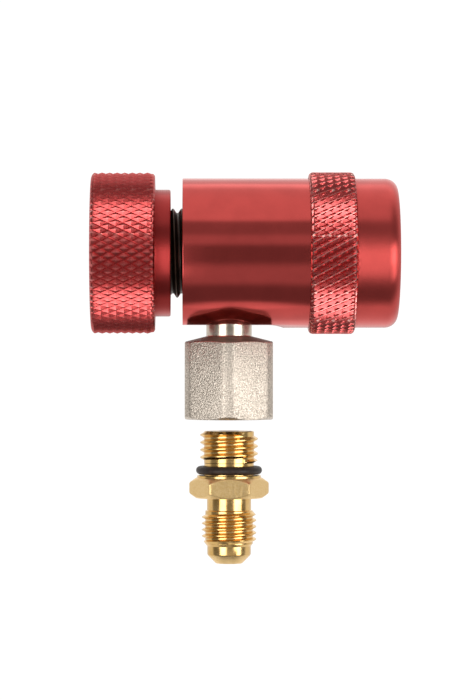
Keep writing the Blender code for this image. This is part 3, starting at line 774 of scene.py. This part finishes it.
def make_release_sleeve():
    """The sprung sleeve: a smooth collar with a round lip, and a knurled ring."""
    teeth, pitch, depth = 59, 3.1, 0.58
    collar, lip_length, lip_height, bevel = 15.05, 2.6, 2.25, 0.9
    mouth, stop, land, spring_bore, skirt = 12.45, 11.9, 11.5, 13.4, 15.25
    stop_front, ramp_front, ramp_back, spring_back = -4.2, -5.0, -5.7, -12.9
    inside = 13.5  # anything nearer the axis is plain metal, not knurl
    piece = Turning(even(teeth * 16))
    piece.rings(edge((SLEEVE_FRONT - 3, mouth), (SLEEVE_FRONT, mouth), (SLEEVE_FRONT, 14), 0.12))
    lip = (SLEEVE_FRONT - lip_length, collar - lip_height)
    piece.rings(arc(lip, (lip_length, lip_height), 0, 90, 20))
    piece.rings([(COLLAR_BACK + 0.02, collar), (COLLAR_BACK, collar + 0.02)])

    def envelope(height):
        along = max(0.0, bevel - min(COLLAR_BACK - height, height - SLEEVE_BACK)) / bevel
        return KNURL_RADIUS - bevel * (1 - math.sqrt(max(0.0, 1 - along**2)))

    ends = (COLLAR_BACK - 0.02, SLEEVE_BACK + 0.02)
    knurl_rings(piece, *ends, teeth, pitch, depth, envelope, ridged=True)
    piece.rings([(SLEEVE_BACK, skirt), (spring_back, skirt), (spring_back, spring_bore)])
    piece.rings([(COLLAR_BACK, spring_bore), (COLLAR_BACK, land), (ramp_back, land), (ramp_front, stop)])
    piece.rings([(stop_front, stop), (stop_front, mouth)])
    piece.close()
    sleeve = piece.build("release_sleeve_look", turn=ALONG_X, sharp=24)
    smooth = [(RED_COLLAR, lambda at, normal: at.z > COLLAR_BACK + 0.001 or math.hypot(at.x, at.y) < inside)]
    return finish_piece(sleeve, "sleeve", ["release_sleeve"], RED_RIDGES, smooth)


def make_sleeve_fittings():
    """The spring behind the sleeve, and the split ring in front that stops it."""
    wire = 1.0
    low = station("sleeve_spring", 0, 0) + wire / 2
    high = station("sleeve_spring", 0, 1) - wire / 2
    spring = coil("sleeve_spring_look", 12.2, wire, [(0, low), (3, high)], turn=ALONG_X)
    finish_piece(spring, "body", ["sleeve_spring"], STEEL)
    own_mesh(spring)
    half_gap = math.radians(30)
    inner, outer = 10.45, 12.15
    piece = Turning(np.linspace(half_gap, TURN - half_gap, 120))
    profile = [(RING_FRONT, inner), (RING_FRONT, outer), (RING_BACK, outer), (RING_BACK, inner)]
    profile = softened(profile, 0.08)
    piece.rings(profile)
    piece.close()
    count = piece.count
    piece.faces = [face for face in piece.faces if {face[0] % count, face[1] % count} != {0, count - 1}]
    for column in (0, count - 1):
        piece.faces.append(tuple(row * count + column for row in range(len(profile))))
    ring = piece.build("sleeve_retaining_ring_look", turn=ALONG_X)
    finish_piece(ring, "body", ["sleeve_retaining_ring"], STEEL)


def make_lock_balls():
    for i in range(6):
        name = f"lock_ball_{i + 1}"
        mesh = bpy.data.meshes.new(name + "_look")
        bm = bmesh.new()
        bmesh.ops.create_icosphere(bm, subdivisions=4, radius=2.0 * MM)
        bm.to_mesh(mesh)
        bm.free()
        mesh.shade_smooth()
        ball = bpy.data.objects.new(name + "_look", mesh)
        bpy.context.scene.collection.objects.link(ball)
        ball.location = [centre(name, axis) * MM for axis in range(3)]
        finish_piece(ball, f"ball_{i + 1}", [name], POLISHED)


def make_pin():
    """The pin with its spring collar, and the spring that brings it back."""
    tip, tail = station("depressor_pin", 0, 1), station("depressor_pin", 0, 0)
    shank, guide, collar, stem = 1.5, 2.2, 4.6, 2.95
    guide_front, collar_front, collar_back = -27.6, -29.7, -30.5
    piece = Turning(even(64))
    piece.rings(arc((tip - 0.5, 0.0), (0.5, 1.0), 8, 80, 6))
    piece.rings([(tip - 1.2, shank), (guide_front, shank), (guide_front, guide - 0.1)])
    piece.rings([(guide_front - 0.1, guide), (collar_front, guide), (collar_front, collar - 0.1)])
    piece.rings([(collar_front - 0.1, collar), (collar_back + 0.1, collar), (collar_back, collar - 0.1)])
    piece.rings([(collar_back, stem), (tail + 0.4, stem), (tail, stem - 0.4)])
    piece.cap()
    piece.faces.append(tuple(piece.first))
    pin = piece.build("depressor_pin_look", turn=ALONG_X)
    finish_piece(pin, "pin", ["depressor_pin"], BRASS)
    wire = 0.6
    low = station("pin_return_spring", 0, 0) + wire / 2
    high = station("pin_return_spring", 0, 1) - wire / 2
    spring = coil("pin_return_spring_look", 3.9, wire, [(0, low), (3.75, high)], turn=ALONG_X)
    finish_piece(spring, "body", ["pin_return_spring"], STEEL)
    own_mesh(spring)


def make_gland():
    """The brass bush, with one groove outside and one inside."""
    back, front = station("stem_gland", 0, 0), station("stem_gland", 0, 1)
    middle = (back + front) / 2
    bore, outer = 3.08, 6.6
    outer_groove, outer_half = 5.7, 0.55
    inner_groove, inner_half = 4.5, 0.75
    profile = [
        (front, bore, 0.1),
        (front, outer, 0.15),
        (middle + outer_half, outer, 0.05),
        (middle + outer_half, outer_groove, 0),
        (middle - outer_half, outer_groove, 0),
        (middle - outer_half, outer, 0.05),
        (back, outer, 0.15),
        (back, bore, 0.1),
        (middle - inner_half, bore, 0.05),
        (middle - inner_half, inner_groove, 0),
        (middle + inner_half, inner_groove, 0),
        (middle + inner_half, bore, 0.05),
    ]
    piece = Turning(even(96))
    piece.rings(softened(profile, 0.1))
    piece.close()
    gland = piece.build("stem_gland_look", turn=ALONG_X)
    finish_piece(gland, "body", ["stem_gland"], BRASS)


def make_seals():
    seals = [
        ("socket_o_ring", 0, 6.8, 1.7, "body", ON_AXIS, ALONG_X),
        ("stem_o_ring", 0, 3.75, 1.3, "body", ON_AXIS, ALONG_X),
        ("gland_o_ring", 0, 6.2, 0.84, "body", ON_AXIS, ALONG_X),
        ("outlet_o_ring", 2, 4.18, 0.96, "outlet", AT_OUTLET, UPRIGHT),
        ("adapter_o_ring", 2, 5.84, 1.66, "adapter_seal", AT_OUTLET, UPRIGHT),
    ]
    for name, axis, mean, section, body, at, turn in seals:
        seal = torus(name + "_look", centre(name, axis), mean, section, at, turn)
        finish_piece(seal, body, [name], RUBBER)


# ---------------------------------------------------------------- the outlet and its adapter

ADAPTER_THREAD_PHASE = -37.45  # height of a crest at angle 0
HOSE_THREAD_PHASE = -53.9


def make_outlet():
    """The hexagonal outlet. Its corners are turned off, and one of them faces the front."""
    flats, corner, cone_top, cone_end, neck = 17.75, 9.7, -16.8, -18.06, 4.6
    passage, tap, recess, recess_top, thread_top = 1.75, 6.05, 6.85, -31.55, -24.2
    seal_groove, seal_bottom, seal_top, wire_groove = 3.6, -12.5, -11.4, 4.15
    wire_bottom, wire_top = WIRE_GROOVE[0] + 0.05, WIRE_GROOVE[1] - 0.05
    piece = Turning(even(360))
    # A smooth minimum of the hexagon's sides and the turned corner. A higher power is sharper.
    power = 160
    side = (hexagon_radius(piece.angles, flats, 0) ** -power + corner**-power) ** (-1 / power)
    slope = (cone_top - cone_end) / (corner - neck)
    piece.rings([(NECK_TOP, passage), (NECK_TOP, neck - 0.2), (NECK_TOP - 0.2, neck)])
    piece.rings([(seal_top, neck), (seal_top, seal_groove), (seal_bottom, seal_groove), (seal_bottom, neck)])
    piece.rings([(wire_top, neck), (wire_top, wire_groove), (wire_bottom, wire_groove), (wire_bottom, neck)])
    piece.rings([(cone_top + 0.15, neck), (cone_top, neck + 0.1)])
    shoulder = cone_top - (side - neck) * slope
    piece.ring(shoulder + 0.12 * slope, side - 0.12)
    piece.ring(shoulder - 0.06, side - 0.03)
    piece.ring(shoulder - 0.16, side)
    chamfer = np.clip(side - (corner - 0.75), 0, None) * 0.65
    piece.ring(NUT_BOTTOM + 0.22 + chamfer, side)
    piece.ring(NUT_BOTTOM + 0.08 + chamfer, side - 0.05)
    rim = np.minimum(side - 0.15, corner - 0.8)
    piece.ring(NUT_BOTTOM + 0.02, rim)
    piece.ring(NUT_BOTTOM, rim - 0.1)
    piece.rings([(NUT_BOTTOM, recess + 0.1), (NUT_BOTTOM + 0.1, recess), (recess_top, recess)])
    piece.rings([(recess_top, tap + 0.15), (recess_top + 0.55, tap + 0.05)])
    thread = (1.5, 5.25, tap, ADAPTER_THREAD_PHASE + 0.75)
    piece.thread(recess_top + 0.6, thread_top - 0.1, *thread, chamfer=3.0)
    piece.rings([(thread_top, tap), (thread_top, passage)])
    piece.close()
    lean = Euler((0, 0, math.radians(-1.5)))
    outlet = piece.build("outlet_swivel_look", AT_OUTLET, lean, sharp=28)
    others = [
        (NICKEL_BRIGHT, lambda at, normal: at.z > cone_top or math.hypot(at.x, at.y) < recess + 0.05),
        # painted shade on the upward faces of the cone under the body
        (NICKEL_PAINTED_SHADE, lambda at, normal: at.z < cone_top and normal.z > 0.8),
    ]
    finish_piece(outlet, "outlet", ["outlet_swivel"], NICKEL, others)
    path = [(0, WIRE_HEIGHT), (0.86, WIRE_HEIGHT)]
    turn = Euler((0, 0, math.radians(-155)))
    wire = coil("outlet_retaining_wire_look", 4.66, 0.72, path, 60, AT_OUTLET, turn)
    finish_piece(wire, "body", ["outlet_retaining_wire"], STEEL)


def make_adapter():
    """The brass adapter: outlet thread, flange, hexagon, flare thread, nose and 45 degree cone."""
    flats, top_root, hose_root, bore = 14.0, 5.05, 4.8, 1.9
    relief, flange, neck, nose = 5.0, 6.45, 4.45, 4.4
    thread_end, hose_top, hose_end, nose_top, cone_top = -42.3, -52.0, -58.6, -59.1, -60.7
    corner = flats / math.sqrt(3)
    flange_top, hex_top, hex_bottom = -44.8, -45.35, -49.4
    piece = Turning(hexagon_angles(192, TURN / 12, [TURN / 12]))
    side = hexagon_radius(piece.angles, flats, TURN / 12)
    piece.rings([(ADAPTER_TOP - 0.25, bore), (ADAPTER_TOP, bore + 0.25)])
    piece.rings([(ADAPTER_TOP, top_root - 0.2), (ADAPTER_TOP - 0.12, top_root - 0.05)])
    thread = (1.5, 5.85, top_root, ADAPTER_THREAD_PHASE)
    piece.thread(ADAPTER_TOP - 0.15, thread_end, *thread, chamfer=1.6, lead=0.05)
    piece.rings([(thread_end - 0.1, relief), (flange_top, relief), (flange_top, flange - 0.15)])
    piece.rings([(flange_top - 0.12, flange), (hex_top + 0.02, flange)])
    face = 6.7
    rise = np.clip(side - face, 0, None) * 0.7
    outer = np.minimum(side, corner - 0.06)
    piece.ring(hex_top, face)
    piece.ring(hex_top - rise + 0.06, outer - 0.12)
    piece.ring(hex_top - rise - 0.10, outer - 0.02)
    piece.ring(hex_top - rise - 0.35, outer)
    piece.ring(hex_bottom + rise + 0.35, outer)
    piece.ring(hex_bottom + rise + 0.10, outer - 0.02)
    piece.ring(hex_bottom + rise - 0.06, outer - 0.12)
    piece.ring(hex_bottom, face)
    piece.rings([(hex_bottom, neck + 0.1), (hex_bottom - 0.1, neck), (hose_top + 0.15, neck)])
    piece.ring(hose_top, hose_root - 0.02)
    thread = (1.27, 5.5, hose_root, HOSE_THREAD_PHASE)
    piece.thread(hose_top - 0.02, hose_end, *thread, chamfer=0.8)
    piece.rings([(hose_end - 0.02, hose_root), (nose_top, nose + 0.02), (nose_top - 0.1, nose)])
    piece.rings([(cone_top, nose), (cone_top - 0.25, nose - 0.12), (ADAPTER_BOTTOM + 0.12, 2.78)])
    piece.rings([(ADAPTER_BOTTOM, 2.6), (ADAPTER_BOTTOM, bore + 0.1), (ADAPTER_BOTTOM + 0.1, bore)])
    piece.close()
    adapter = piece.build("hose_adapter_look", AT_OUTLET, sharp=26)

    def on_flats(at, normal):
        return hex_bottom <= at.z <= hex_top or (at.z < cone_top - 0.2 and normal.z < -0.3)

    others = [(BRASS_FLATS, on_flats)]
    finish_piece(adapter, "adapter", ["hose_adapter"], BRASS, others)


# ---------------------------------------------------------------- floor, light and camera


def make_floor():
    """A pale floor well below the object, so that a view from below isn't blocked."""
    depth, behind = 0.7, 1.0
    bpy.ops.mesh.primitive_plane_add(size=6, location=(0, behind, -depth))
    floor = bpy.context.object
    floor.name = "floor"
    material, _, shader = new_material("floor", (0.9, 0.9, 0.9), 0.9, 0.0)
    shader.inputs["Emission Color"].default_value = (1, 1, 1, 1)
    shader.inputs["Emission Strength"].default_value = 0.6
    floor.data.materials.append(material)
    floor.visible_glossy = False


def window(tree, value, low, high, soft):
    """1 where the value lies between low and high, and 0 outside, with soft edges."""
    up = node(tree, "ShaderNodeMapRange", interpolation_type="SMOOTHSTEP")
    up.inputs["From Min"].default_value = low - soft
    up.inputs["From Max"].default_value = low + soft
    down = node(tree, "ShaderNodeMapRange", interpolation_type="SMOOTHSTEP")
    down.inputs["From Min"].default_value = high - soft
    down.inputs["From Max"].default_value = high + soft
    down.inputs["To Min"].default_value = 1
    down.inputs["To Max"].default_value = 0
    tree.links.new(value, up.inputs["Value"])
    tree.links.new(value, down.inputs["Value"])
    return combine(tree, "MULTIPLY", up.outputs["Result"], down.outputs["Result"])


def combine(tree, operation, *values):
    made = node(tree, "ShaderNodeMath", operation=operation)
    for socket, value in zip(made.inputs, values):
        if isinstance(value, (int, float)):
            socket.default_value = value
        else:
            tree.links.new(value, socket)
    return made.outputs["Value"]


def make_studio():
    """A studio of soft panels, written as brightness by direction. Each panel is a window of
    elevation and azimuth in degrees. Azimuth 0 faces the front, and east is positive."""
    world = bpy.data.worlds.new("studio")
    bpy.context.scene.world = world
    world.use_nodes = True
    tree = world.node_tree
    tree.nodes.clear()
    coordinates = node(tree, "ShaderNodeTexCoord")
    split = node(tree, "ShaderNodeSeparateXYZ")
    tree.links.new(coordinates.outputs["Generated"], split.inputs["Vector"])
    east, north, up = split.outputs
    elevation = combine(tree, "MULTIPLY", combine(tree, "ARCSINE", up), 180 / math.pi)
    south = combine(tree, "MULTIPLY", north, -1)
    azimuth = combine(tree, "MULTIPLY", combine(tree, "ARCTAN2", east, south), 180 / math.pi)
    wide = combine(tree, "ABSOLUTE", azimuth)
    # Lean is the angle out of the plane that is square to the object's axis.
    lean = combine(tree, "MULTIPLY", combine(tree, "ARCSINE", east), 180 / math.pi)
    ahead = (-28, 28, 6)
    panels = [
        # strength, elevation from and to and softness, and the same across
        (0.61, (48.5, 400, 3), ahead, lean),  # overhead
        (0.14, (10, 400, 4), ahead, lean),  # upper front
        (0.20, (12, 26, 4), ahead, lean),
        (0.28, (-50, -19, 7), ahead, lean),  # lower front
        (0.72, (-400, -82, 3), ahead, lean),  # underneath
        (3.7, (-34, 10, 7), (-50, -17, 3), azimuth),  # left strip
        (4.0, (-34, 10, 7), (43, 65, 3), azimuth),  # right strip
        (4.6, (-18, 7, 6), (27, 43, 3), azimuth),  # its short near part
        (0.64, (-84, 60, 8), (96, 400, 6), wide),  # behind
    ]
    light = 0.21  # between the panels
    for strength, heights, sides, across in panels:
        panel = window(tree, elevation, *heights)
        panel = combine(tree, "MULTIPLY", panel, window(tree, across, *sides))
        light = combine(tree, "MULTIPLY_ADD", panel, strength, light)
    seen = node(tree, "ShaderNodeLightPath")
    studio = node(tree, "ShaderNodeBackground")
    tree.links.new(light, studio.inputs["Strength"])
    studio.inputs["Color"].default_value = (1, 0.985, 0.965, 1)
    backdrop = node(tree, "ShaderNodeBackground")
    backdrop.inputs["Color"].default_value = (1, 1, 1, 1)
    backdrop.inputs["Strength"].default_value = 1.05
    mix = node(tree, "ShaderNodeMixShader")
    tree.links.new(seen.outputs["Is Camera Ray"], mix.inputs["Fac"])
    tree.links.new(studio.outputs["Background"], mix.inputs[1])
    tree.links.new(backdrop.outputs["Background"], mix.inputs[2])
    output = node(tree, "ShaderNodeOutputWorld")
    tree.links.new(mix.outputs["Shader"], output.inputs["Surface"])


def make_camera():
    """Level with the middle of the object, far enough away for a long lens."""
    data = bpy.data.cameras.new("camera")
    camera = bpy.data.objects.new("camera", data)
    bpy.context.scene.collection.objects.link(camera)
    data.sensor_width = 36
    data.lens = 152.8
    data.clip_end = 20
    camera.location = (-0.042, -0.600, -0.0195)
    target = Vector((-0.0331, 0, -0.01955))
    camera.rotation_euler = (target - camera.location).to_track_quat("-Z", "Y").to_euler()
    bpy.context.scene.camera = camera


make_valve_body()
make_handwheel()
make_actuator_screw()
make_handwheel_screw()
make_release_sleeve()
make_sleeve_fittings()
make_lock_balls()
make_pin()
make_gland()
make_seals()
make_outlet()
make_adapter()
make_floor()
make_studio()
make_camera()
bpy.context.scene.view_settings.view_transform = "Standard"

bpy.context.view_layer.update()
